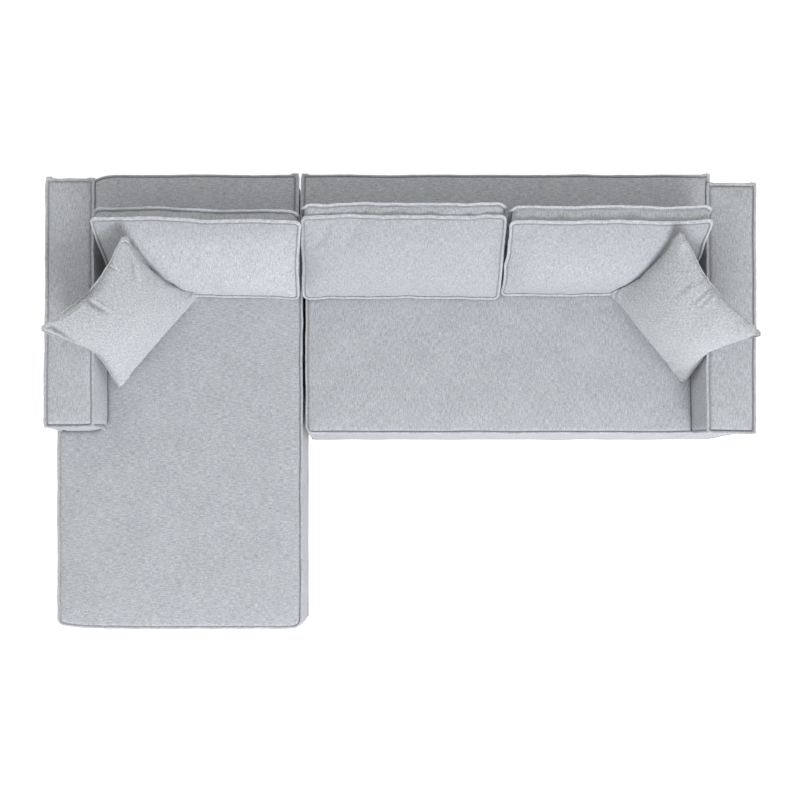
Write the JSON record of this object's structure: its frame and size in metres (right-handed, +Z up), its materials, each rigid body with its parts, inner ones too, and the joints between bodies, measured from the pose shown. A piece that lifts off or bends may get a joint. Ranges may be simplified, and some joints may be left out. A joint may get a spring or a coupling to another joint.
{
  "type": "sectional sofa",
  "caption": "L-shaped sectional sofa: a chaise module with a left arm joined to a seat module with a right arm, padded slab arms and backs, loose leaning back cushions and throw pillows.",
  "frame": {"origin": "on the floor, at the middle of the whole outline", "axes": "+X towards the right arm, +Y towards the backs, +Z up; the seats face -Y"},
  "size_m": [2.8, 1.8, 0.8761],
  "materials": {
    "upholstery_fabric": "matt woven light grey melange with a slubbed yarn",
    "pillow_fabric": "matt woven light grey melange, softer and more creased",
    "timber": "unfinished sawn softwood",
    "steel": "zinc-plated",
    "foot_plastic": "moulded matt black",
    "lining": "black non-woven dust cover"
  },
  "bodies": {
    "chaise_module": {"chaise_seat_pad": "upholstery_fabric", "left_arm_pad": "upholstery_fabric", "left_arm_frame": "timber", "left_arm_bolt_front": "steel", "left_arm_bolt_rear": "steel", "chaise_back_pad": "upholstery_fabric", "chaise_back_frame": "timber", "chaise_back_bolt_left": "steel", "chaise_back_bolt_right": "steel", "chaise_front_rail": "timber", "chaise_rear_rail": "timber", "chaise_left_rail": "timber", "chaise_right_rail": "timber", "chaise_middle_rail": "timber", "chaise_wing_side_rail": "timber", "chaise_wing_rear_rail": "timber", "chaise_springs": "steel", "chaise_front_panel": "upholstery_fabric", "chaise_right_panel": "upholstery_fabric", "chaise_wing_panel": "upholstery_fabric", "chaise_dust_cover": "lining", "chaise_foot_front_left": "foot_plastic", "chaise_foot_front_right": "foot_plastic", "chaise_foot_middle_left": "foot_plastic", "chaise_foot_middle_right": "foot_plastic", "chaise_foot_rear_left": "foot_plastic", "chaise_foot_rear_right": "foot_plastic", "connector_sleeve_front": "steel", "connector_sleeve_rear": "steel"},
    "sofa_module": {"sofa_seat_pad": "upholstery_fabric", "right_arm_pad": "upholstery_fabric", "right_arm_frame": "timber", "right_arm_bolt_front": "steel", "right_arm_bolt_rear": "steel", "sofa_back_pad": "upholstery_fabric", "sofa_back_frame": "timber", "sofa_back_bolt_left": "steel", "sofa_back_bolt_right": "steel", "sofa_front_rail": "timber", "sofa_rear_rail": "timber", "sofa_left_rail": "timber", "sofa_right_rail": "timber", "sofa_middle_rail": "timber", "sofa_springs": "steel", "sofa_front_panel": "upholstery_fabric", "sofa_left_panel": "upholstery_fabric", "sofa_dust_cover": "lining", "sofa_foot_front_left": "foot_plastic", "sofa_foot_front_middle": "foot_plastic", "sofa_foot_front_right": "foot_plastic", "sofa_foot_rear_left": "foot_plastic", "sofa_foot_rear_middle": "foot_plastic", "sofa_foot_rear_right": "foot_plastic", "connector_tongue_front": "steel", "connector_tongue_rear": "steel"},
    "left_back_cushion": {"left_back_cushion": "upholstery_fabric"},
    "middle_back_cushion": {"middle_back_cushion": "upholstery_fabric"},
    "right_back_cushion": {"right_back_cushion": "upholstery_fabric"},
    "left_throw_pillow": {"left_throw_pillow": "pillow_fabric"},
    "right_throw_pillow": {"right_throw_pillow": "pillow_fabric"}
  },
  "joints": [
    {"name": "sofa_module_slide", "type": "slide", "parent": "chaise_module", "child": "sofa_module", "axis": [1, 0, 0], "range_m": [0, 0.3]},
    {"name": "left_back_cushion_lift", "type": "slide", "parent": "chaise_module", "child": "left_back_cushion", "axis": [0, 0.5, 0.866], "range_m": [0, 0.45]},
    {"name": "middle_back_cushion_lift", "type": "slide", "parent": "sofa_module", "child": "middle_back_cushion", "axis": [0, 0.5, 0.866], "range_m": [0, 0.45]},
    {"name": "right_back_cushion_lift", "type": "slide", "parent": "sofa_module", "child": "right_back_cushion", "axis": [0, 0.5, 0.866], "range_m": [0, 0.45]},
    {"name": "left_throw_pillow_lift", "type": "slide", "parent": "chaise_module", "child": "left_throw_pillow", "axis": [0, 0, 1], "range_m": [0, 0.45]},
    {"name": "right_throw_pillow_lift", "type": "slide", "parent": "sofa_module", "child": "right_throw_pillow", "axis": [0, 0, 1], "range_m": [0, 0.45]}
  ]
}
